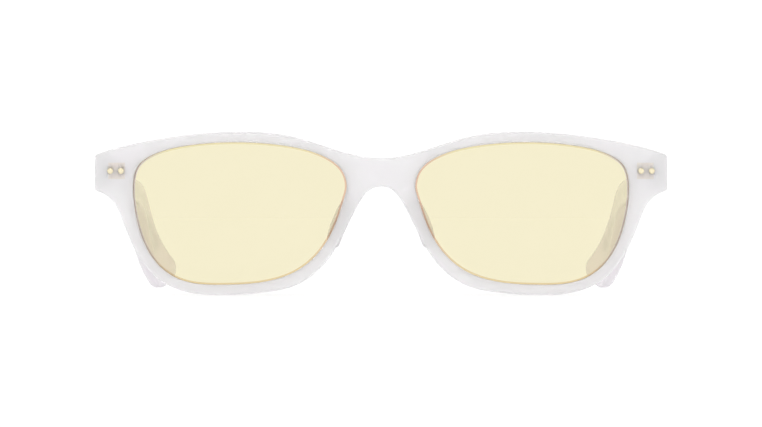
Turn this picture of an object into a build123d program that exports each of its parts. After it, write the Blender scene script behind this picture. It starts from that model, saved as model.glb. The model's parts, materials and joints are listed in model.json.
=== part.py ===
from build123d import *

import os
from math import asin, cos, pi, radians, sin, sqrt, tan

# Blue light glasses: a crystal acetate front with two tinted lenses and two glued nose pads, and
# two acetate temples, each with a wire core, that fold on riveted five-barrel hinges.
# +X is the wearer's left, the wearer looks along -Y, and +Z is up. The origin is on the table,
# under the middle of the glasses' width and length, with the temples open.

# ---- Driving dimensions, mm ----

# front
lens_width = 52.2  # seen through the rim
lens_height = 34.7
bridge_gap = 17.1  # between the two rim openings
end_piece_reach = 9.25  # from a rim opening to the outer end of the front
rim_width = 2.55
front_thickness = 4.0
front_bend_radius = 300.0  # of the front's face, seen from above
bridge_height = 6.85
bridge_drop = 6.5  # from the top of the rims down to the top of the bridge
end_piece_height = 8.65
end_piece_drop = 5.6  # from the top of the rims down to the end piece's upper corner
end_corner_radius = 0.9
face_edge_radius = 0.5
back_edge_radius = 0.7
rim_edge_radius = 0.35

# lenses
lens_thickness = 2.3
lens_face_radius = 265.0
lens_rise = 2.2  # from the bevel up to the middle of the lens's face
bevel_depth = 0.4
bevel_angle = 45.0  # of each side of the bevel
bevel_flat = 0.1
bevel_overlap = 0.1  # how far the bevel's sides run on into the lens
groove_setback = 0.55  # of the rim groove, behind the middle of the sheet at the lens's centre
lens_clearance = 0.05

# nose pads
pad_length = 13.0
pad_depth = 7.0
pad_thickness = 2.9
pad_lean = 22.0  # degrees, outwards towards the pad's lower end
pad_splay = 10.0  # degrees, outwards towards the pad's back
pad_edge_radius = 1.2
pad_drop = 22.1  # from the top of the rims down to the pad's middle
pad_offset = 1.0  # of the pad's middle, outwards from the nose side of the rim opening
glue_gap = 0.05

# hinges
hinge_drop = 9.5  # from the top of the rims down to the hinge's middle
rivet_inset = 5.1  # middle of the two front rivets, from the outer end of the front
rivet_pitch = 2.7
temple_rivet_pitch = 3.8
rivet_radius = 0.72
rivet_proud = 0.12
rivet_head_depth = 0.35  # how far the head is sunk in the acetate
rivet_dome = 0.1
shank_radius = 0.45
leaf_width = 4.2  # of the front leaf
leaf_height = 4.0
leaf_thickness = 1.3
leaf_corner_radius = 0.4
temple_leaf_length = 8.4
temple_leaf_proud = 0.3
knuckle_radius = 1.5
knuckle_height = 0.76
knuckle_gap = 0.04
knuckle_count = 5
web_half_width = 1.1  # of the metal between a knuckle and its leaf
barrel_gap = 0.2  # between the barrel and the back of the front
screw_radius = 0.68
screw_head_radius = 1.1
screw_head_height = 0.42
screw_head_proud = 0.12
screw_slot_width = 0.3
screw_slot_depth = 0.22
running_clearance = 0.04
fit_clearance = 0.03

# temples
temple_length = 140.0  # along the temple from the butt to the tip
temple_bend_length = 95.0  # from the butt to the start of the bend
temple_bend_radius = 30.0
temple_slope = 3.0  # degrees down towards the back, before the bend
temple_thickness = 4.0
temple_tip_thickness = 3.1
temple_butt_height = 8.4
temple_waist_height = 6.2
temple_waist_length = 75.0  # from the butt to the waist
temple_tip_height = 7.6
temple_edge_radius = 0.9
temple_setback = 0.35  # of the temple's outer face, inside the end of the front
temple_bow = 0.6  # outwards, part of the way along
tip_toe_in = 6.8  # inwards, at the tip
temple_lean_in = 3.7  # inwards at the tip too, but evenly from the hinge back
butt_gap = 0.15
core_thickness = 1.1
core_height = 2.4
core_tip_height = 1.8
core_start = 9.6  # from the butt, just past the hinge's leaf
core_end_gap = 13.0  # from the end of the core to the tip
core_clearance = 0.05

# ---- Derived places ----

lens_x = (bridge_gap + lens_width) / 2
half_width = bridge_gap / 2 + lens_width + end_piece_reach
rim_half_width = lens_width / 2 + rim_width
rim_half_height = lens_height / 2 + rim_width
lens_z = rim_half_height  # the rims stand on z = 0
rim_top_z = 2 * rim_half_height
bridge_top_z = rim_top_z - bridge_drop
bridge_under_z = bridge_top_z - bridge_height
corner_top_z = rim_top_z - end_piece_drop
corner_low_z = corner_top_z - end_piece_height
hinge_z = rim_top_z - hinge_drop

wrap = asin(lens_x / front_bend_radius)
rivet_x = half_width - rivet_inset
hinge_wrap = asin(rivet_x / front_bend_radius)
barrel_reach = knuckle_radius + barrel_gap  # from the pin to the back of the front
pin_offset = front_thickness + barrel_reach
pin_x = rivet_x - pin_offset * sin(hinge_wrap)
barrel_height = knuckle_count * knuckle_height + (knuckle_count - 1) * knuckle_gap
barrel_base_z = hinge_z - barrel_height / 2

temple_outer_x = half_width - temple_setback
temple_inner_x = temple_outer_x - temple_thickness
temple_mid_x = temple_outer_x - temple_thickness / 2
leaf_inner_x = temple_inner_x - temple_leaf_proud
tip_radius = temple_tip_height / 2


def set_back(x, depth=0.0):
    """How far behind the bridge's foremost point the bent sheet lies at x, depth into it."""
    return front_bend_radius - sqrt((front_bend_radius - depth) ** 2 - x**2)


def butt_behind_pin(x, gap=butt_gap):
    """How far behind the pin the temple's mitred butt lies at x, gap off the front's back."""
    return (x - pin_x) * tan(hinge_wrap) - (barrel_reach - gap) / cos(hinge_wrap)


def temple_run(s, end_slope):
    """How far back and how far down the temple's middle line is, s along it, and its slope."""
    slope, full = radians(temple_slope), radians(end_slope)
    turned = min(max(s - temple_bend_length, 0) / temple_bend_radius, full - slope)
    straight = min(s, temple_bend_length)
    rest = max(s - temple_bend_length - (full - slope) * temple_bend_radius, 0)
    back = straight * cos(slope) + temple_bend_radius * (sin(slope + turned) - sin(slope))
    down = straight * sin(slope) + temple_bend_radius * (cos(slope) - cos(slope + turned))
    return back + rest * cos(full), down + rest * sin(full), slope + turned


def end_slope_to_stand():
    """The slope of the temple's last stretch at which the round tip just reaches the table."""
    low, high = temple_slope, 85.0
    for _ in range(60):
        middle = (low + high) / 2
        down = temple_run(temple_length - tip_radius, middle)[1]
        if down < hinge_z - tip_radius:
            low = middle
        else:
            high = middle
    return low


temple_end_slope = end_slope_to_stand()
temple_reach = temple_run(temple_length - tip_radius, temple_end_slope)[0] + tip_radius
pin_set_back = set_back(rivet_x) + pin_offset * cos(hinge_wrap)
overall_length = pin_set_back + butt_behind_pin(temple_mid_x) + temple_reach
front_y = -overall_length / 2
pin_y = front_y + pin_set_back
butt_y = pin_y + butt_behind_pin(temple_mid_x)
bend_axis_y = front_y + front_bend_radius

# The bevel of the left lens lies in this plane, which faces forwards.
lens_plane = Plane(
    origin=(
        lens_x - (front_thickness / 2 + groove_setback) * sin(wrap),
        front_y + set_back(lens_x) + (front_thickness / 2 + groove_setback) * cos(wrap),
        lens_z,
    ),
    x_dir=(cos(wrap), sin(wrap), 0),
    z_dir=(sin(wrap), -cos(wrap), 0),
)

# The left hinge's front rivets start on this plane, on the front's face, which faces backwards.
rivet_plane = Plane(
    origin=(rivet_x, front_y + set_back(rivet_x), hinge_z),
    x_dir=(-cos(hinge_wrap), -sin(hinge_wrap), 0),
    z_dir=(-sin(hinge_wrap), cos(hinge_wrap), 0),
)
front_rivet_places = [(-rivet_pitch / 2, 0), (rivet_pitch / 2, 0)]

# The left temple's rivets start on this plane, on the temple's outer face, which faces inwards.
temple_leaf_y = pin_y + butt_behind_pin(leaf_inner_x + leaf_thickness) + fit_clearance
temple_rivet_plane = Plane(
    origin=(temple_outer_x, temple_leaf_y + temple_leaf_length / 2 + knuckle_radius / 2, hinge_z),
    x_dir=(0, -1, 0),
    z_dir=(-1, 0, 0),
)
temple_rivet_places = [(-temple_rivet_pitch / 2, 0), (temple_rivet_pitch / 2, 0)]


def knuckle_plane(level, turn):
    """The bottom of the knuckle at a level, counted from 0, with y pointing away from its leaf."""
    return Plane(
        origin=(pin_x, pin_y, barrel_base_z + level * (knuckle_height + knuckle_gap)),
        x_dir=(cos(turn), sin(turn), 0),
        z_dir=(0, 0, 1),
    )


# ---- Outlines ----

# Points of one rim opening, as shares of its half width and half height about its centre.
opening_shape = [
    (-1.0, 0.42),
    (-0.933, 0.65),
    (-0.765, 0.817),
    (-0.428, 0.95),
    (0.03, 1.0),
    (0.529, 0.944),
    (0.809, 0.828),
    (0.95, 0.673),
    (1.0, 0.34),
    (0.977, 0.0),
    (0.9, -0.395),
    (0.786, -0.677),
    (0.598, -0.9),
    (0.135, -1.0),
    (-0.26, -0.951),
    (-0.554, -0.79),
    (-0.762, -0.508),
    (-0.905, -0.117),
    (-0.979, 0.224),
]


def on_opening(grow=0.0):
    """The rim opening's points on the lens plane, moved out by about grow all round."""
    across = lens_width / 2 / cos(wrap) + grow
    up = lens_height / 2 + grow
    return [(u * across, v * up) for u, v in opening_shape]


def on_rim(u, v):
    """A point of the front's outline that follows the rim, as shares of the rim's half sizes."""
    return (lens_x + u * rim_half_width, lens_z + v * rim_half_height)


# The right half of the front's upper outline, from the middle of the bridge to the end piece, and
# of its lower one, from the end piece back to the middle of the bridge.
brow_points = [
    (0, bridge_top_z),
    (10.3, bridge_top_z + 1.85),
    on_rim(-0.494, 0.926),
    on_rim(0.03, 1.0),
    on_rim(0.634, 0.922),
    (half_width - 4.0, corner_top_z + 1.3),
    (half_width, corner_top_z),
]
cheek_points = [
    (half_width, corner_low_z),
    (half_width - 2.4, corner_low_z - 0.95),
    (half_width - 4.6, corner_low_z - 2.8),
    on_rim(1.017, -0.01),
    on_rim(0.937, -0.3),
    on_rim(0.826, -0.592),
    on_rim(0.683, -0.808),
    on_rim(0.512, -0.934),
    on_rim(0.123, -1.0),
    on_rim(-0.236, -0.964),
    on_rim(-0.494, -0.874),
    on_rim(-0.713, -0.643),
    on_rim(-0.873, -0.298),
    on_rim(-0.975, 0.0),
    (4.5, bridge_under_z - 2.65),
    (2.5, bridge_under_z - 0.65),
    (0, bridge_under_z),
]


def other_half(points):
    """The same points on the other side of the middle, in the opposite order."""
    return [(-x, z) for x, z in reversed(points) if x > 0]


# Where the temple's outer face lies, as shares of its reach, and how far outwards. It is straight
# along the hinge's leaf, and the even lean inwards comes on top of this from there.
straight_share = 0.1
temple_plan = [
    (straight_share, 0.0),
    (0.42, temple_bow),
    (0.8, temple_bow * 0.7),
    (0.94, tip_toe_in * -0.38),
    (1.0, -tip_toe_in),
    (1.02, tip_toe_in * -1.25),
]


def temple_half_height(s):
    """Half the temple's height, s along it: it narrows to a waist and widens again to the tip."""
    if s < temple_waist_length:
        share = (1 - cos(pi * max(s, 0) / temple_waist_length)) / 2
        return (temple_butt_height + (temple_waist_height - temple_butt_height) * share) / 2
    rest = min((s - temple_waist_length) / (temple_length - tip_radius - temple_waist_length), 1)
    share = (1 - cos(pi * rest)) / 2
    return (temple_waist_height + (temple_tip_height - temple_waist_height) * share) / 2


def core_half_height(s):
    """Half the core's height, s along the temple: it tapers towards the tip."""
    return (core_height + (core_tip_height - core_height) * s / temple_length) / 2


def temple_edge(stations, half_height, side):
    """Points above (side 1) or below (side -1) the temple's middle line, as (y, z)."""
    points = []
    for s in stations:
        back, down, slope = temple_run(s, temple_end_slope)
        offset = side * half_height(s)
        points.append((butt_y + back + offset * sin(slope), hinge_z - down + offset * cos(slope)))
    return points


def heading(s):
    """The direction of the temple's middle line, s along it, as (y, z)."""
    slope = temple_run(s, temple_end_slope)[2]
    return (cos(slope), -sin(slope))


def temple_stations(start, end):
    """Where the temple's edges are drawn through, from start to end along it."""
    shares = [0.16, 0.34, 0.52, 0.68, 0.76, 0.84, 0.92]
    inner = [share * temple_length for share in shares if start < share * temple_length < end - 5]
    return [start] + inner + [end]


def temple_plan_points(near, far):
    """Points of a line that lies near inside the outer face at the butt, and far at the tip."""
    start_x = temple_outer_x - near
    points = [(start_x, pin_y + butt_behind_pin(start_x))]
    for share, outwards in temple_plan:
        inset = near + (far - near) * share
        lean = temple_lean_in * (share - straight_share) / (1 - straight_share)
        points.append((temple_outer_x + outwards - lean - inset, butt_y + share * temple_reach))
    return points


# ---- Rim groove and lens edge ----


def add_bevel(clearance):
    """Adds a disc with the lens's bevelled edge or, with a clearance, the groove that it sits in."""
    side_height = bevel_depth + lens_clearance + bevel_overlap
    flat = bevel_flat / 2 + clearance
    for direction in (1, -1):
        with BuildSketch(lens_plane) as edge_outline:
            with BuildLine():
                Spline(*on_opening(bevel_depth + clearance), periodic=True)
            make_face()
        extrude(edge_outline.sketch, amount=direction * flat)
        with BuildSketch(lens_plane.offset(direction * flat)) as side_outline:
            with BuildLine():
                Spline(*on_opening(bevel_depth + clearance), periodic=True)
            make_face()
        extrude(side_outline.sketch, amount=direction * side_height, taper=bevel_angle)


with BuildPart() as groove_cutter:
    add_bevel(lens_clearance)

# ---- Front ----

with BuildPart() as opening_cutter:
    with BuildSketch(lens_plane.offset(-front_thickness)):
        with BuildLine():
            Spline(*on_opening(), periodic=True)
        make_face()
    extrude(amount=3 * front_thickness)

# The groove, the leaf's pocket and the rivets' holes, on the left.
with BuildPart() as front_cutter:
    add(groove_cutter.part)
    with BuildSketch(rivet_plane.offset(front_thickness - leaf_thickness - fit_clearance)):
        width = leaf_width + 2 * fit_clearance
        height = leaf_height + 2 * fit_clearance
        RectangleRounded(width, height, leaf_corner_radius + fit_clearance)
    extrude(amount=front_thickness)
    with BuildSketch(rivet_plane):
        with Locations(*front_rivet_places):
            Circle(shank_radius + fit_clearance)
    extrude(amount=front_thickness)
    with BuildSketch(rivet_plane.offset(-rivet_head_depth)):
        with Locations(*front_rivet_places):
            Circle(rivet_radius + fit_clearance)
    extrude(amount=2 * rivet_head_depth)

with BuildPart() as front_frame:
    with BuildSketch(Plane.XZ.offset(-front_y - overall_length / 4)):
        with BuildLine():
            Spline(*other_half(brow_points), *brow_points)
            Line((half_width, corner_top_z), (half_width, corner_low_z))
            Spline(*cheek_points, *other_half(cheek_points))
            Line((-half_width, corner_low_z), (-half_width, corner_top_z))
        make_face()
    extrude(amount=overall_length / 2)
    end_edges = front_frame.edges().filter_by(Axis.Y)
    end_edges = end_edges.filter_by(lambda edge: abs(edge.center().X) > half_width - 0.01)
    fillet(end_edges, radius=end_corner_radius)
    with Locations((0, bend_axis_y, lens_z)):
        Cylinder(front_bend_radius, 2 * rim_top_z, mode=Mode.INTERSECT)
        Cylinder(front_bend_radius - front_thickness, 2 * rim_top_z, mode=Mode.SUBTRACT)
    sheet_faces = front_frame.faces().sort_by(SortBy.AREA)[-2:].sort_by(Axis.Y)
    fillet(sheet_faces[0].edges(), radius=face_edge_radius)
    sheet_faces = front_frame.faces().sort_by(SortBy.AREA)[-2:].sort_by(Axis.Y)
    fillet(sheet_faces[1].edges(), radius=back_edge_radius)
    add(opening_cutter.part, mode=Mode.SUBTRACT)
    mirror(opening_cutter.part, about=Plane.YZ, mode=Mode.SUBTRACT)
    sheet_faces = front_frame.faces().sort_by(SortBy.AREA)[-2:]
    rim_wires = [wire for face in sheet_faces for wire in face.inner_wires()]
    fillet([edge for wire in rim_wires for edge in wire.edges()], radius=rim_edge_radius)
    add(front_cutter.part, mode=Mode.SUBTRACT)
    mirror(front_cutter.part, about=Plane.YZ, mode=Mode.SUBTRACT)

with BuildPart() as nose_pad_left:
    pad_x = bridge_gap / 2 + pad_offset
    pad_back = Vector(sin(radians(pad_splay)), cos(radians(pad_splay)), 0)
    pad_down = Vector(sin(radians(pad_lean)), 0, -cos(radians(pad_lean)))
    pad_base = (pad_x, front_y + set_back(pad_x, front_thickness), rim_top_z - pad_drop)
    with BuildSketch(Plane(origin=pad_base, x_dir=pad_back, z_dir=pad_down.cross(pad_back))):
        Ellipse(pad_depth, pad_length / 2)
    extrude(amount=pad_thickness / 2, both=True)
    fillet(nose_pad_left.edges(), radius=pad_edge_radius)
    with Locations((0, bend_axis_y, lens_z)):
        pad_bed_radius = front_bend_radius - front_thickness - glue_gap
        Cylinder(pad_bed_radius, 2 * rim_top_z, mode=Mode.INTERSECT)

with BuildPart() as lens_left:
    with BuildSketch(lens_plane):
        with BuildLine():
            Spline(*on_opening(-lens_clearance), periodic=True)
        make_face()
    extrude(amount=2 * front_thickness, both=True)
    add_bevel(0)
    with Locations(lens_plane.offset(lens_rise - lens_face_radius).origin):
        Sphere(lens_face_radius, mode=Mode.INTERSECT)
        Sphere(lens_face_radius - lens_thickness, mode=Mode.SUBTRACT)

# ---- Hinge ----


def add_rivet(plane, place, length):
    """Adds a rivet that starts on the plane, with its domed head just proud of it."""
    with BuildSketch(plane) as shank:
        with Locations(place):
            Circle(shank_radius)
    extrude(shank.sketch, amount=length)
    with BuildSketch(plane.offset(rivet_head_depth)) as head:
        with Locations(place):
            Circle(rivet_radius)
    extrude(head.sketch, amount=-rivet_head_depth - rivet_proud + rivet_dome)
    with BuildSketch(plane.offset(rivet_dome - rivet_proud)) as dome:
        with Locations(place):
            Circle(rivet_radius)
    extrude(dome.sketch, amount=-rivet_dome, taper=45)


with BuildPart() as front_rivets_left:
    for place in front_rivet_places:
        add_rivet(rivet_plane, place, front_thickness)

with BuildPart() as temple_rivets_left:
    for place in temple_rivet_places:
        add_rivet(temple_rivet_plane, place, temple_thickness + temple_leaf_proud)

with BuildPart() as front_hinge_left:
    with BuildSketch(rivet_plane.offset(front_thickness - leaf_thickness)):
        RectangleRounded(leaf_width, leaf_height, leaf_corner_radius)
    extrude(amount=leaf_thickness)
    for level in range(0, knuckle_count, 2):
        with BuildSketch(knuckle_plane(level, hinge_wrap)):
            Circle(knuckle_radius)
            web_reach = barrel_reach + leaf_thickness / 2
            Rectangle(2 * web_half_width, web_reach, align=(Align.CENTER, Align.MAX))
        extrude(amount=knuckle_height)
    with BuildSketch(knuckle_plane(0, hinge_wrap)):
        Circle(screw_radius + fit_clearance)
    extrude(amount=barrel_height, mode=Mode.SUBTRACT)
    with BuildSketch(knuckle_plane(0, hinge_wrap).offset(barrel_height)):
        Circle(screw_head_radius + fit_clearance)
    extrude(amount=-(screw_head_height - screw_head_proud + fit_clearance), mode=Mode.SUBTRACT)
    with BuildSketch(rivet_plane):
        with Locations(*front_rivet_places):
            Circle(shank_radius + fit_clearance)
    extrude(amount=front_thickness, mode=Mode.SUBTRACT)

with BuildPart() as temple_hinge_left:
    with BuildSketch(Plane.YZ.offset(leaf_inner_x)):
        with Locations((temple_leaf_y + temple_leaf_length / 2, hinge_z)):
            RectangleRounded(temple_leaf_length, leaf_height, leaf_corner_radius)
    extrude(amount=leaf_thickness)
    for level in range(1, knuckle_count, 2):
        with BuildSketch(knuckle_plane(level, pi / 2)):
            Circle(knuckle_radius)
            web_start = temple_leaf_y - pin_y
            web_reach = leaf_inner_x + leaf_thickness / 2 - pin_x
            with Locations((web_start, 0)):
                Rectangle(knuckle_radius - web_start, web_reach, align=(Align.MIN, Align.MAX))
        extrude(amount=knuckle_height)
    with BuildSketch(knuckle_plane(0, hinge_wrap)):
        Circle(screw_radius + running_clearance)
    extrude(amount=barrel_height, mode=Mode.SUBTRACT)
    with BuildSketch(temple_rivet_plane):
        with Locations(*temple_rivet_places):
            Circle(shank_radius + fit_clearance)
    extrude(amount=2 * temple_thickness, mode=Mode.SUBTRACT)

with BuildPart() as hinge_screw_left:
    with BuildSketch(knuckle_plane(0, 0)):
        Circle(screw_radius)
    extrude(amount=barrel_height)
    screw_top = barrel_height + screw_head_proud
    with BuildSketch(knuckle_plane(0, 0).offset(screw_top)):
        Circle(screw_head_radius)
    extrude(amount=-screw_head_height)
    with BuildSketch(knuckle_plane(0, 0).offset(screw_top)):
        Rectangle(3 * screw_head_radius, screw_slot_width)
    extrude(amount=-screw_slot_depth, mode=Mode.SUBTRACT)

# ---- Temple ----


def add_temple_side(start, end, half_height, round_tip):
    """Adds the temple or its core as seen from the side, from start to end along it, very wide."""
    stations = temple_stations(start, end)
    upper = temple_edge(stations, half_height, 1)
    lower = temple_edge(stations, half_height, -1)
    tangents = [heading(start), heading(end)]
    tip = temple_edge([end + half_height(end)], lambda s: 0, 1)[0]
    with BuildSketch(Plane.YZ) as side:
        with BuildLine():
            Spline(*upper, tangents=tangents)
            Spline(*lower, tangents=tangents)
            Line(lower[0], upper[0])
            if round_tip:
                ThreePointArc(upper[-1], tip, lower[-1])
            else:
                Line(upper[-1], lower[-1])
        make_face()
    extrude(side.sketch, amount=2 * half_width)


def keep_temple_plan(near_outer, far_outer, near_inner, far_inner):
    """Keeps what lies between two lines of the temple's plan, given by how far in each lies."""
    outer = temple_plan_points(near_outer, far_outer)
    inner = temple_plan_points(near_inner, far_inner)
    with BuildSketch(Plane.XY.offset(-rim_top_z)) as plan:
        with BuildLine():
            Spline(*outer)
            Line(outer[-1], inner[-1])
            Spline(*inner)
            Line(inner[0], outer[0])
        make_face()
    extrude(plan.sketch, amount=3 * rim_top_z, mode=Mode.INTERSECT)


def add_core(clearance):
    """Adds the wire core or, with a clearance, the channel that it lies in."""
    end = temple_length - core_end_gap + clearance
    add_temple_side(core_start - clearance, end, lambda s: core_half_height(s) + clearance, False)
    near = (temple_thickness - core_thickness) / 2 - clearance
    far = (temple_tip_thickness - core_thickness) / 2 - clearance
    width = core_thickness + 2 * clearance
    keep_temple_plan(near, far, near + width, far + width)


with BuildPart() as core_channel:
    add_core(core_clearance)

with BuildPart() as core_wire_left:
    add_core(0)

with BuildPart() as temple_left:
    add_temple_side(-temple_thickness, temple_length - tip_radius, temple_half_height, True)
    keep_temple_plan(0, 0, temple_thickness, temple_tip_thickness)
    long_edges = temple_left.edges().filter_by(lambda edge: edge.center().Y > butt_y + temple_thickness)
    fillet(long_edges, radius=temple_edge_radius)
    with BuildSketch(Plane.YZ.offset(leaf_inner_x)):
        with Locations((temple_leaf_y + temple_leaf_length + fit_clearance, hinge_z)):
            pocket_length = temple_leaf_length + 2 * knuckle_radius
            pocket_height = leaf_height + 2 * fit_clearance
            Rectangle(pocket_length, pocket_height, align=(Align.MAX, Align.CENTER))
    extrude(amount=leaf_thickness + fit_clearance, mode=Mode.SUBTRACT)
    with BuildSketch(temple_rivet_plane):
        with Locations(*temple_rivet_places):
            Circle(shank_radius + fit_clearance)
    extrude(amount=2 * temple_thickness, mode=Mode.SUBTRACT)
    with BuildSketch(temple_rivet_plane.offset(rivet_head_depth)):
        with Locations(*temple_rivet_places):
            Circle(rivet_radius + fit_clearance)
    extrude(amount=-2 * rivet_head_depth, mode=Mode.SUBTRACT)
    add(core_channel.part, mode=Mode.SUBTRACT)

# ---- The other side, and the files ----

left_pieces = {
    "nose_pad": nose_pad_left,
    "lens": lens_left,
    "front_rivets": front_rivets_left,
    "front_hinge": front_hinge_left,
    "hinge_screw": hinge_screw_left,
    "temple_hinge": temple_hinge_left,
    "temple_rivets": temple_rivets_left,
    "temple": temple_left,
    "core_wire": core_wire_left,
}

os.makedirs("parts", exist_ok=True)
front_frame.part.label = "front_frame"
export_step(front_frame.part, "parts/front_frame.step")
for name, left_piece in left_pieces.items():
    with BuildPart() as right_piece:
        mirror(left_piece.part, about=Plane.YZ)
    left_piece.part.label = f"{name}_left"
    export_step(left_piece.part, f"parts/{name}_left.step")
    right_piece.part.label = f"{name}_right"
    export_step(right_piece.part, f"parts/{name}_right.step")
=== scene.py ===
import json
from math import radians

import bpy
import numpy as np
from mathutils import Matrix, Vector

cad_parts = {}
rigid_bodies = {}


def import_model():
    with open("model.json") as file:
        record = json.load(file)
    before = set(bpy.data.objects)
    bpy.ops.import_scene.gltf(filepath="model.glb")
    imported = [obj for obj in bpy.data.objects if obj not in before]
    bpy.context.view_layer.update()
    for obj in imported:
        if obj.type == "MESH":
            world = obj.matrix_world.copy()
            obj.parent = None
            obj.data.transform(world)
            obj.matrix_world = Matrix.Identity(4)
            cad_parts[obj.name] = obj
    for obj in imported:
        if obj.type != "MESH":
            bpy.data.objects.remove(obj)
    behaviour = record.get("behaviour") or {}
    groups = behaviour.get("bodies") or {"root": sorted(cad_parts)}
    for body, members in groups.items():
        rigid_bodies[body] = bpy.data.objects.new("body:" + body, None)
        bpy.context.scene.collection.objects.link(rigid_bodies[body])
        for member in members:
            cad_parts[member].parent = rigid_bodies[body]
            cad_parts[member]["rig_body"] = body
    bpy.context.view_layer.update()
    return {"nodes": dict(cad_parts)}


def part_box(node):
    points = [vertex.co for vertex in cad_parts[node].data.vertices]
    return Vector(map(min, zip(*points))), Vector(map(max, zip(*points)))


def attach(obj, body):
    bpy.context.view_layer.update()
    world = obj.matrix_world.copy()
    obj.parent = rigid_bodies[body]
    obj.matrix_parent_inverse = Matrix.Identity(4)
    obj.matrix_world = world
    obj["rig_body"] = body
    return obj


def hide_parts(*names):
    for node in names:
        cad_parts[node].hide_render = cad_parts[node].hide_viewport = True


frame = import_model()

# Blue light glasses in milky crystal acetate with pale yellow lenses, set out as a maker would:
# the bench and lights first, then each finish, then each piece with its finish.

MM = 0.001

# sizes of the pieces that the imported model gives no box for
front_bend_radius = 300 * MM
leaf_half_width = 2.05 * MM  # of the front hinge's leaf, square on
leaf_seen_outwards = 0.29 * MM  # how far the acetate's bending of light moves it
leaf_surround = 12 * MM  # each way from the middle of a leaf, where the front may be cut
edge_band = 0.4 * MM  # of the lens's face, where its bevel shows through

# the least share of a face's normal along a direction, for the face to count as facing that way
lens_face = 0.85
leaf_side = 0.5  # of the front, before or behind a leaf
bent_face = 0.998  # of the front, against its rounded edges
temple_side = 0.9

# how far the exact normals may stray from the mesh's own
near_normal = 0.8  # least share in common, on the front
upright_lean = 0.01  # of a temple's side
slope_slack = 0.02  # along a temple's side
slope_degree = 9  # of the smooth curve that a temple's slope follows

weld_gap = 0.0005 * MM
crisp_edge = 38  # degrees, past which an edge isn't smoothed
crisp_band_edge = 20
gloss_weight = 60  # how much the larger faces count at a shared corner


def linear(hex_colour):
    """An sRGB hex colour as the linear RGBA that a shader socket takes."""
    channels = [int(hex_colour[i:i + 2], 16) / 255 for i in (1, 3, 5)]
    return [c / 12.92 if c <= 0.04045 else ((c + 0.055) / 1.055) ** 2.4 for c in channels] + [1.0]


def add_node(tree, kind, inputs=(), links=(), **settings):
    """Adds a node, sets its properties and its sockets' values, and links other nodes' outputs to it."""
    node = tree.nodes.new(kind)
    for name, value in settings.items():
        setattr(node, name, value)
    for socket, value in dict(inputs).items():
        node.inputs[socket].default_value = value
    for socket, source in dict(links).items():
        tree.links.new(source, node.inputs[socket])
    return node


def new_finish(name):
    """An empty node material, with the object's own coordinates in metres to start each pattern from."""
    finish = bpy.data.materials.new(name)
    finish.use_nodes = True
    finish.node_tree.nodes.clear()
    place = add_node(finish.node_tree, "ShaderNodeTexCoord").outputs["Object"]
    return finish, finish.node_tree, place


# ---- The bench: floor, lights and camera ----

lens_middle = (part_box("lens_left")[0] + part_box("lens_left")[1]) / 2
front_face_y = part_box("front_frame")[0].y
end_pieces_back = 9 * MM  # from the foremost point of the front
end_piece_y = front_face_y + end_pieces_back

camera_distance = 1300 * MM
picture_width = 186.5 * MM  # seen at the depth of the end pieces
sensor_width = 36.0
nearest_seen = 0.01
farthest_seen = 30

tent_level = 1.06
tent_opening = 1.08
tent_top = 0.78  # of the tent's level
floor_glow = 0.66
floor_radius = 9
floor_sides = 96


def set_camera():
    """A long lens, level with the middle of the lenses and square to the front."""
    bpy.ops.object.camera_add(
        location=(0, end_piece_y - camera_distance, lens_middle.z),
        rotation=(radians(90), 0, 0),
    )
    camera = bpy.context.object
    camera.name = "bench_camera"
    camera.data.sensor_width = sensor_width
    camera.data.lens = sensor_width * camera_distance / picture_width
    camera.data.clip_start = nearest_seen
    camera.data.clip_end = farthest_seen
    bpy.context.scene.camera = camera


def set_lights():
    """A white tent round the bench, with three very soft suns. Their light brings the floor up to
    the tent's own brightness, so that no horizon shows through the lenses."""
    world = bpy.data.worlds.new("white_tent")
    bpy.context.scene.world = world
    world.use_nodes = True
    tree = world.node_tree
    tree.nodes.clear()
    way = add_node(tree, "ShaderNodeTexCoord").outputs["Generated"]
    split = add_node(tree, "ShaderNodeSeparateXYZ", links={0: way})
    # the tent is a little brighter at its opening, in front of the glasses
    level = add_node(
        tree, "ShaderNodeMapRange",
        inputs={"From Min": -1.0, "From Max": -0.3, "To Min": tent_opening, "To Max": tent_level},
        links={"Value": split.outputs["Y"]},
        interpolation_type="SMOOTHSTEP",
    )
    # and darker towards its top, so that upper faces keep some tone
    upwards = add_node(
        tree, "ShaderNodeMapRange",
        inputs={"From Min": 0.1, "From Max": 1.0, "To Min": 1.0, "To Max": tent_top},
        links={"Value": split.outputs["Z"]},
    )
    brightness = add_node(
        tree, "ShaderNodeMath",
        links={0: level.outputs[0], 1: upwards.outputs[0]},
        operation="MULTIPLY",
    )
    background = add_node(
        tree, "ShaderNodeBackground",
        inputs={"Color": linear("#FFFFFF")},
        links={"Strength": brightness.outputs[0]},
    )
    add_node(tree, "ShaderNodeOutputWorld", links={"Surface": background.outputs[0]})

    for name, azimuth, height, strength, softness, tint in (
        ("key_sun", -35, 55, 0.22, 50, "#FFFDFA"),
        ("fill_sun", 50, 40, 0.09, 70, "#FAFCFF"),
        ("back_sun", 170, 50, 0.10, 70, "#FFFFFF"),
    ):
        bpy.ops.object.light_add(type="SUN", location=(0, 0, 1))
        sun = bpy.context.object
        sun.name = name
        sun.data.energy = strength
        sun.data.angle = radians(softness)
        sun.data.color = linear(tint)[:3]
        sun.rotation_euler = (radians(90 - height), 0, radians(azimuth))


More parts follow.
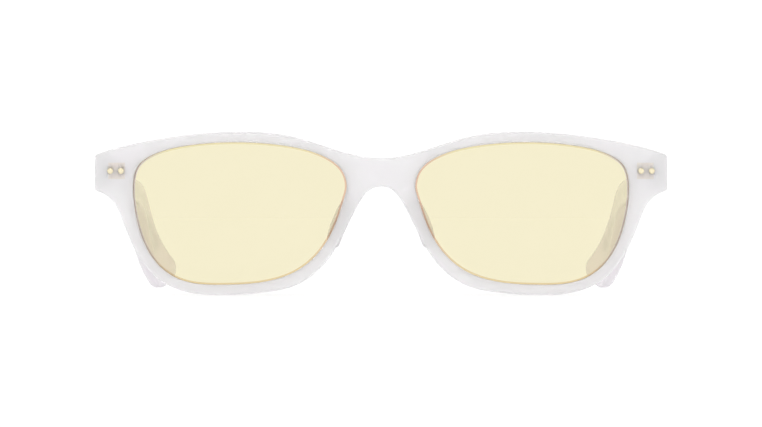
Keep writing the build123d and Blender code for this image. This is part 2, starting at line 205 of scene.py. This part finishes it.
def lay_floor():
    """A matt white acrylic sheet lit evenly from below, far wider than the glasses. Its own light
    is most of its brightness, so only a faint shadow stays under the rims."""
    finish, tree, place = new_finish("matt_white_lit_acrylic")
    grain = add_node(
        tree, "ShaderNodeTexNoise",
        inputs={"Scale": 1 / (40 * MM), "Detail": 3.0},
        links={"Vector": place},
    )
    colour = add_node(
        tree, "ShaderNodeMix",
        inputs={6: linear("#A0A0A1"), 7: linear("#A6A6A6")},
        links={0: grain.outputs["Fac"]},
        data_type="RGBA",
    )
    shader = add_node(
        tree, "ShaderNodeBsdfPrincipled",
        inputs={
            "Roughness": 0.9,
            "Specular IOR Level": 0.1,
            "Emission Color": linear("#FFFFFF"),
            "Emission Strength": floor_glow,
        },
        links={"Base Color": colour.outputs[2]},
    )
    add_node(tree, "ShaderNodeOutputMaterial", links={"Surface": shader.outputs[0]})
    bpy.ops.mesh.primitive_circle_add(
        vertices=floor_sides, radius=floor_radius, fill_type="NGON", location=(0, 0, 0),
    )
    floor = bpy.context.object
    floor.name = "floor"
    floor.data.materials.append(finish)


# ---- Finishes ----


def crystal_acetate(name, clearness, dark, light):
    """Milky crystal cellulose acetate, cut from a block and tumbled to a polish: clear enough to
    show the hinge behind it, with a faint lilac cloud in the block and a slow ripple in the gloss.
    Light wanders a few millimetres inside it, so thin rims glow softly."""
    finish, tree, place = new_finish(name)
    cloud = add_node(
        tree, "ShaderNodeTexNoise",
        inputs={"Scale": 1 / (11 * MM), "Detail": 3.0, "Roughness": 0.5, "Distortion": 0.4},
        links={"Vector": place},
    )
    colour = add_node(
        tree, "ShaderNodeMix",
        inputs={6: linear(dark), 7: linear(light)},
        links={0: cloud.outputs["Fac"]},
        data_type="RGBA",
    )
    gloss = add_node(
        tree, "ShaderNodeMapRange",
        inputs={"To Min": 0.03, "To Max": 0.10},
        links={"Value": cloud.outputs["Fac"]},
    )
    ripple = add_node(
        tree, "ShaderNodeTexNoise",
        inputs={"Scale": 1 / (3 * MM), "Detail": 1.0},
        links={"Vector": place},
    )
    polish = add_node(
        tree, "ShaderNodeBump",
        inputs={"Strength": 0.15, "Distance": 0.02 * MM},
        links={"Height": ripple.outputs["Fac"]},
    )
    shader = add_node(
        tree, "ShaderNodeBsdfPrincipled",
        inputs={
            "Transmission Weight": clearness,
            "IOR": 1.48,
            "Subsurface Weight": 1.0,
            "Subsurface Radius": (1.0, 0.97, 1.0),
            "Subsurface Scale": 2.5 * MM,
        },
        links={
            "Base Color": colour.outputs[2],
            "Roughness": gloss.outputs[0],
            "Normal": polish.outputs[0],
        },
    )
    add_node(tree, "ShaderNodeOutputMaterial", links={"Surface": shader.outputs[0]})
    return finish


def filter_lens():
    """A cast resin lens that filters blue light: clear pale yellow, hard coated, with a violet
    cast in what it reflects and the faintest uneven wipe marks in the gloss."""
    finish, tree, place = new_finish("yellow_filter_resin")
    wipe = add_node(
        tree, "ShaderNodeTexNoise",
        inputs={"Scale": 1 / (14 * MM), "Detail": 4.0, "Distortion": 1.2},
        links={"Vector": place},
    )
    gloss = add_node(
        tree, "ShaderNodeMapRange",
        inputs={"From Min": 0.45, "From Max": 0.75, "To Min": 0.0, "To Max": 0.03},
        links={"Value": wipe.outputs["Fac"]},
    )
    tint = add_node(
        tree, "ShaderNodeMix",
        inputs={6: linear("#EEE7C5"), 7: linear("#F0E9C8")},
        links={0: wipe.outputs["Fac"]},
        data_type="RGBA",
    )
    shader = add_node(
        tree, "ShaderNodeBsdfPrincipled",
        inputs={
            "Transmission Weight": 1.0,
            "IOR": 1.5,
            "Specular Tint": linear("#D8CCFF"),
        },
        links={"Base Color": tint.outputs[2], "Roughness": gloss.outputs[0]},
    )
    add_node(tree, "ShaderNodeOutputMaterial", links={"Surface": shader.outputs[0]})
    return finish


def bevel_band_painted_light():
    """The outermost half millimetre of the same resin, where the bevel shows through the face. Its
    colour is partly the coating's tint and partly painted light, the bevel's look under light from each
    side: yellow above, amber below, rosy by the nose and violet grey by the temple."""
    finish, tree, place = new_finish("resin_band_painted_bevel_light")
    split = add_node(tree, "ShaderNodeSeparateXYZ", links={0: place})
    from_middle = add_node(
        tree, "ShaderNodeMath", links={0: split.outputs["X"]}, operation="ABSOLUTE",
    )
    low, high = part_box("lens_left")
    level_end = 3 * MM  # of the lens's height, at each end of the change from amber to yellow
    temple_fade, nose_fade = 10 * MM, 12 * MM  # from the lens's side, where its colour starts
    full_colour = 2 * MM  # from the lens's side, where it is complete
    upwards = add_node(
        tree, "ShaderNodeMapRange",
        inputs={"From Min": low.z + level_end, "From Max": high.z - level_end},
        links={"Value": split.outputs["Z"]},
        interpolation_type="SMOOTHSTEP",
    )
    outwards = add_node(
        tree, "ShaderNodeMapRange",
        inputs={"From Min": high.x - temple_fade, "From Max": high.x - full_colour},
        links={"Value": from_middle.outputs[0]},
        interpolation_type="SMOOTHSTEP",
    )
    inwards = add_node(
        tree, "ShaderNodeMapRange",
        inputs={"From Min": low.x + nose_fade, "From Max": low.x + full_colour},
        links={"Value": from_middle.outputs[0]},
        interpolation_type="SMOOTHSTEP",
    )
    # painted light: the band is amber towards the bottom of the lens and yellow towards the top
    level = add_node(
        tree, "ShaderNodeMix",
        inputs={6: linear("#E0C28E"), 7: linear("#EBDDAA")},
        links={0: upwards.outputs[0]},
        data_type="RGBA",
    )
    # painted light: the band turns rose towards the nose
    painted_rose_by_nose = add_node(
        tree, "ShaderNodeMix",
        inputs={7: linear("#D9A793")},
        links={0: inwards.outputs[0], 6: level.outputs[2]},
        data_type="RGBA",
    )
    # painted light: the band turns violet grey towards the temple
    painted_grey_by_temple = add_node(
        tree, "ShaderNodeMix",
        inputs={7: linear("#C8BCC2")},
        links={0: outwards.outputs[0], 6: painted_rose_by_nose.outputs[2]},
        data_type="RGBA",
    )
    shader = add_node(
        tree, "ShaderNodeBsdfPrincipled",
        inputs={"Transmission Weight": 0.8, "IOR": 1.5, "Roughness": 0.05},
        links={"Base Color": painted_grey_by_temple.outputs[2]},
    )
    add_node(tree, "ShaderNodeOutputMaterial", links={"Surface": shader.outputs[0]})
    return finish


def lens_edge():
    """The ground edge of the same resin: light runs along inside the lens and leaves it here, so
    the tint is an amber, and the grinding wheel leaves it satin."""
    finish, tree, place = new_finish("ground_amber_lens_edge")
    grit = add_node(
        tree, "ShaderNodeTexNoise",
        inputs={"Scale": 1 / (0.4 * MM), "Detail": 2.0},
        links={"Vector": place},
    )
    tint = add_node(
        tree, "ShaderNodeMix",
        inputs={6: linear("#DCA567"), 7: linear("#E6BE86")},
        links={0: grit.outputs["Fac"]},
        data_type="RGBA",
    )
    wheel = add_node(
        tree, "ShaderNodeBump",
        inputs={"Strength": 0.4, "Distance": 0.01 * MM},
        links={"Height": grit.outputs["Fac"]},
    )
    shader = add_node(
        tree, "ShaderNodeBsdfPrincipled",
        inputs={"Transmission Weight": 0.5, "IOR": 1.5, "Roughness": 0.35},
        links={"Base Color": tint.outputs[2], "Normal": wheel.outputs[0]},
    )
    add_node(tree, "ShaderNodeOutputMaterial", links={"Surface": shader.outputs[0]})
    return finish


def plain_metal(name, dark, light, rough, lines, stretch):
    """A metal with fine tool marks: lines is their spacing in mm, and stretch how the marks are
    drawn out along each axis. Real marks are finer, and these are as coarse as they need to be to
    show."""
    finish, tree, place = new_finish(name)
    along = add_node(
        tree, "ShaderNodeMapping",
        inputs={"Scale": stretch},
        links={"Vector": place},
    )
    marks = add_node(
        tree, "ShaderNodeTexNoise",
        inputs={"Scale": 1 / (lines * MM), "Detail": 3.0, "Roughness": 0.6},
        links={"Vector": along.outputs[0]},
    )
    colour = add_node(
        tree, "ShaderNodeMix",
        inputs={6: linear(dark), 7: linear(light)},
        links={0: marks.outputs["Fac"]},
        data_type="RGBA",
    )
    gloss = add_node(
        tree, "ShaderNodeMapRange",
        inputs={"To Min": rough - 0.06, "To Max": rough + 0.08},
        links={"Value": marks.outputs["Fac"]},
    )
    relief = add_node(
        tree, "ShaderNodeBump",
        inputs={"Strength": 0.25, "Distance": 0.008 * MM},
        links={"Height": marks.outputs["Fac"]},
    )
    shader = add_node(
        tree, "ShaderNodeBsdfPrincipled",
        inputs={"Metallic": 1.0},
        links={
            "Base Color": colour.outputs[2],
            "Roughness": gloss.outputs[0],
            "Normal": relief.outputs[0],
        },
    )
    add_node(tree, "ShaderNodeOutputMaterial", links={"Surface": shader.outputs[0]})
    return finish


# ---- Pieces ----


def only(piece):
    """Leaves this piece alone selected and active."""
    bpy.ops.object.select_all(action="DESELECT")
    piece.select_set(True)
    bpy.context.view_layer.objects.active = piece


def bed_leaves(front):
    """Cuts the front along the edges of each hinge's leaf, on its back and, where the leaf shows
    through, on its face. The leaf is pressed in warm, with no air between, and the heat clears the
    acetate before it: the back takes the second, clear finish and the face the third, rosy one."""
    only(front)
    mesh = front.data
    bpy.context.tool_settings.mesh_select_mode = (False, False, True)
    for side, sign in (("left", 1), ("right", -1)):
        low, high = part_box(f"front_hinge_{side}")
        leaf_end = max(abs(low.x), abs(high.x))
        for facing, shift in ((1, 0), (-1, leaf_seen_outwards)):
            middle = sign * (leaf_end - leaf_half_width + shift)
            for at, across in (
                ((middle - leaf_half_width, 0, 0), (1, 0, 0)),
                ((middle + leaf_half_width, 0, 0), (1, 0, 0)),
                ((0, 0, low.z), (0, 0, 1)),
                ((0, 0, high.z), (0, 0, 1)),
            ):
                for face in mesh.polygons:
                    near = abs(face.center.x - middle) < leaf_surround
                    face.select = near and face.normal.y * facing > leaf_side
                bpy.ops.object.mode_set(mode="EDIT")
                bpy.ops.mesh.bisect(plane_co=at, plane_no=across)
                bpy.ops.mesh.select_all(action="DESELECT")
                bpy.ops.object.mode_set(mode="OBJECT")
            for face in mesh.polygons:
                spot = face.center
                beside = abs(spot.x - middle) < leaf_half_width and low.z < spot.z < high.z
                if beside and face.normal.y * facing > leaf_side:
                    face.material_index = 1 if facing > 0 else 2


def true_bend(front):
    """Gives the front's face and back the normals of the round forms that it was bent on, about
    one upright axis behind it."""
    mesh = front.data
    axis = Vector((0, front_face_y + front_bend_radius, 0))
    normals = [Vector(n.vector) for n in mesh.corner_normals]
    bent = {}
    for face in mesh.polygons:
        outwards = face.center - axis
        outwards.z = 0
        along = face.normal.dot(outwards.normalized())
        if abs(along) > bent_face:
            for vertex in face.vertices:
                bent[vertex] = 1 if along > 0 else -1
    for loop in mesh.loops:
        if loop.vertex_index in bent:
            outwards = mesh.vertices[loop.vertex_index].co - axis
            outwards.z = 0
            true = outwards.normalized() * bent[loop.vertex_index]
            if true.dot(normals[loop.index]) > near_normal:
                normals[loop.index] = true
    mesh.normals_split_custom_set(normals)


def true_sides(temple):
    """Gives the temple's inner and outer faces even normals along its length. Both are upright and
    curve only lengthwise, so one smooth curve of their slope says which way each point faces."""
    mesh = temple.data
    normals = [Vector(n.vector) for n in mesh.corner_normals]
    for facing in (-1, 1):
        faces = [
            f for f in mesh.polygons
            if f.normal.x * facing > temple_side and abs(f.normal.z) < upright_lean
        ]
        ends = [[mesh.vertices[v].co.y for v in f.vertices] for f in faces]
        middles = [(min(y) + max(y)) / 2 for y in ends]
        slopes = [f.normal.y / f.normal.x for f in faces]
        weights = [f.area**0.5 for f in faces]
        slope_at = np.polynomial.Polynomial.fit(middles, slopes, slope_degree, w=weights)
        for face, middle, slope in zip(faces, middles, slopes):
            if abs(slope - slope_at(middle)) < slope_slack:
                for corner in face.loop_indices:
                    y = mesh.vertices[mesh.loops[corner].vertex_index].co.y
                    normals[corner] = Vector((1, slope_at(y), 0)).normalized() * facing
    mesh.normals_split_custom_set(normals)


def polished_copy(node, name, finishes, shape=None):
    """The node's own shape as one joined skin with smooth shading, which then stands for it. A
    shape function may work on the skin before it is smoothed."""
    source = frame["nodes"][node]
    piece = bpy.data.objects.new(name, source.data.copy())
    bpy.context.scene.collection.objects.link(piece)
    only(piece)
    bpy.ops.object.mode_set(mode="EDIT")
    bpy.ops.mesh.select_all(action="SELECT")
    bpy.ops.mesh.remove_doubles(threshold=weld_gap)
    bpy.ops.object.mode_set(mode="OBJECT")
    piece.data.materials.clear()
    for finish in finishes:
        piece.data.materials.append(finish)
    if shape:
        shape(piece)
    bpy.ops.object.shade_smooth_by_angle(angle=radians(crisp_edge))
    weighted = piece.modifiers.new("even_gloss", "WEIGHTED_NORMAL")
    weighted.keep_sharp = True
    weighted.weight = gloss_weight
    bpy.ops.object.modifier_apply(modifier=weighted.name)
    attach(piece, source["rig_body"])
    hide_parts(node)
    return piece


def band_the_face(lens):
    """Insets the lens's front face, so that a narrow band along its edge can take a finish of its
    own: third in the lens's list. The ground edge, which faces across the view, takes the second."""
    only(lens)
    mesh = lens.data
    for face in mesh.polygons:
        face.select = face.normal.y < -lens_face
        face.material_index = 0 if abs(face.normal.y) > lens_face else 1
    bpy.context.tool_settings.mesh_select_mode = (False, False, True)
    inner = {tuple(sorted(f.vertices)) for f in mesh.polygons if not f.select}
    bpy.ops.object.mode_set(mode="EDIT")
    bpy.ops.mesh.inset(thickness=edge_band, use_boundary=True, use_even_offset=True)
    bpy.ops.mesh.select_all(action="INVERT")
    bpy.ops.object.mode_set(mode="OBJECT")
    for face in mesh.polygons:
        if face.select and tuple(sorted(face.vertices)) not in inner:
            face.material_index = 2
    bpy.ops.object.shade_smooth_by_angle(angle=radians(crisp_band_edge))


def true_faces(lens):
    """Gives the lens's two round faces the normals of the spheres that they were surfaced on."""
    mesh = lens.data
    normals = [Vector(n.vector) for n in mesh.corner_normals]
    for facing in (-1, 1):
        faces = [f for f in mesh.polygons if f.normal.y * facing > lens_face]
        points = np.array([mesh.vertices[v].co for f in faces for v in f.vertices])
        # |p|^2 = 2 p.c + (r^2 - |c|^2), solved for the centre c
        system = np.column_stack((2 * points, np.ones(len(points))))
        centre = Vector(np.linalg.lstsq(system, (points**2).sum(1), rcond=None)[0][:3])
        for face in faces:
            for corner in face.loop_indices:
                spot = mesh.vertices[mesh.loops[corner].vertex_index].co
                outwards = (spot - centre).normalized()
                normals[corner] = outwards if outwards.y * facing > 0 else -outwards
    mesh.normals_split_custom_set(normals)


def main():
    bpy.context.scene.view_settings.view_transform = "Standard"
    set_camera()
    set_lights()
    lay_floor()

    acetate = crystal_acetate(
        "milky_crystal_acetate", clearness=0.3, dark="#FAF3F9", light="#FEF8FD",
    )
    # the same block cut thin: less depth to glow, so a shade greyer
    thin_acetate = crystal_acetate(
        "thin_milky_acetate", clearness=0.25, dark="#F3EDF2", light="#F8F3F7",
    )
    # cleared by the heat behind the leaf's bed, so that the leaf is seen
    bedded = crystal_acetate(
        "clear_acetate_on_leaf", clearness=1.0, dark="#F8F5F8", light="#FCFAFC",
    )
    # warmed by the metal close behind it, which gives a faint rose
    rosy = crystal_acetate(
        "rosy_acetate_over_leaf", clearness=0.28, dark="#F6EBE5", light="#F9EFEA",
    )
    resin = filter_lens()
    amber = lens_edge()
    # the narrow band along the lens's face, coloured with painted light
    band = bevel_band_painted_light()
    # stamped and tumbled: a warm grey with a soft, even gloss
    nickel = plain_metal(
        "tumbled_nickel_silver", "#CDC6BA", "#E4DED3", rough=0.24, lines=0.5, stretch=(1, 1, 1),
    )
    # drawn through a die: fine lines along the wire
    drawn = plain_metal(
        "drawn_nickel_silver_wire", "#BDB8B0", "#DAD5CC", rough=0.3, lines=0.4,
        stretch=(1, 0.05, 1),
    )
    # plated and barrel polished: a pale yellow gloss
    gold = plain_metal(
        "pale_gold_plate", "#EFE3BE", "#F8EFD2", rough=0.2, lines=0.3, stretch=(1, 1, 1),
    )
    # turned on a lathe: cool, bright and finely marked
    steel = plain_metal(
        "turned_steel", "#B4B4B4", "#D6D6D4", rough=0.22, lines=0.25, stretch=(1, 1, 1),
    )

    front = polished_copy(
        "front_frame", "acetate_front", [acetate, bedded, rosy],
        shape=bed_leaves,
    )
    true_bend(front)
    for side in ("left", "right"):
        temple = polished_copy(
            f"temple_{side}", f"acetate_temple_{side}", [thin_acetate],
        )
        true_sides(temple)
        polished_copy(
            f"nose_pad_{side}", f"acetate_nose_pad_{side}", [thin_acetate],
        )
        lens = polished_copy(
            f"lens_{side}", f"filter_lens_{side}", [resin, amber, band],
        )
        band_the_face(lens)
        true_faces(lens)
        for node, slot, finish in (
            (f"front_hinge_{side}", "hinge_metal", nickel),
            (f"temple_hinge_{side}", "hinge_metal", nickel),
            (f"hinge_screw_{side}", "screw_steel", steel),
            (f"front_rivets_{side}", "pale_gold", gold),
            (f"temple_rivets_{side}", "pale_gold", gold),
            (f"core_wire_{side}", "core_metal", drawn),
        ):
            polished_copy(node, f"polished_{node}", [finish])


main()
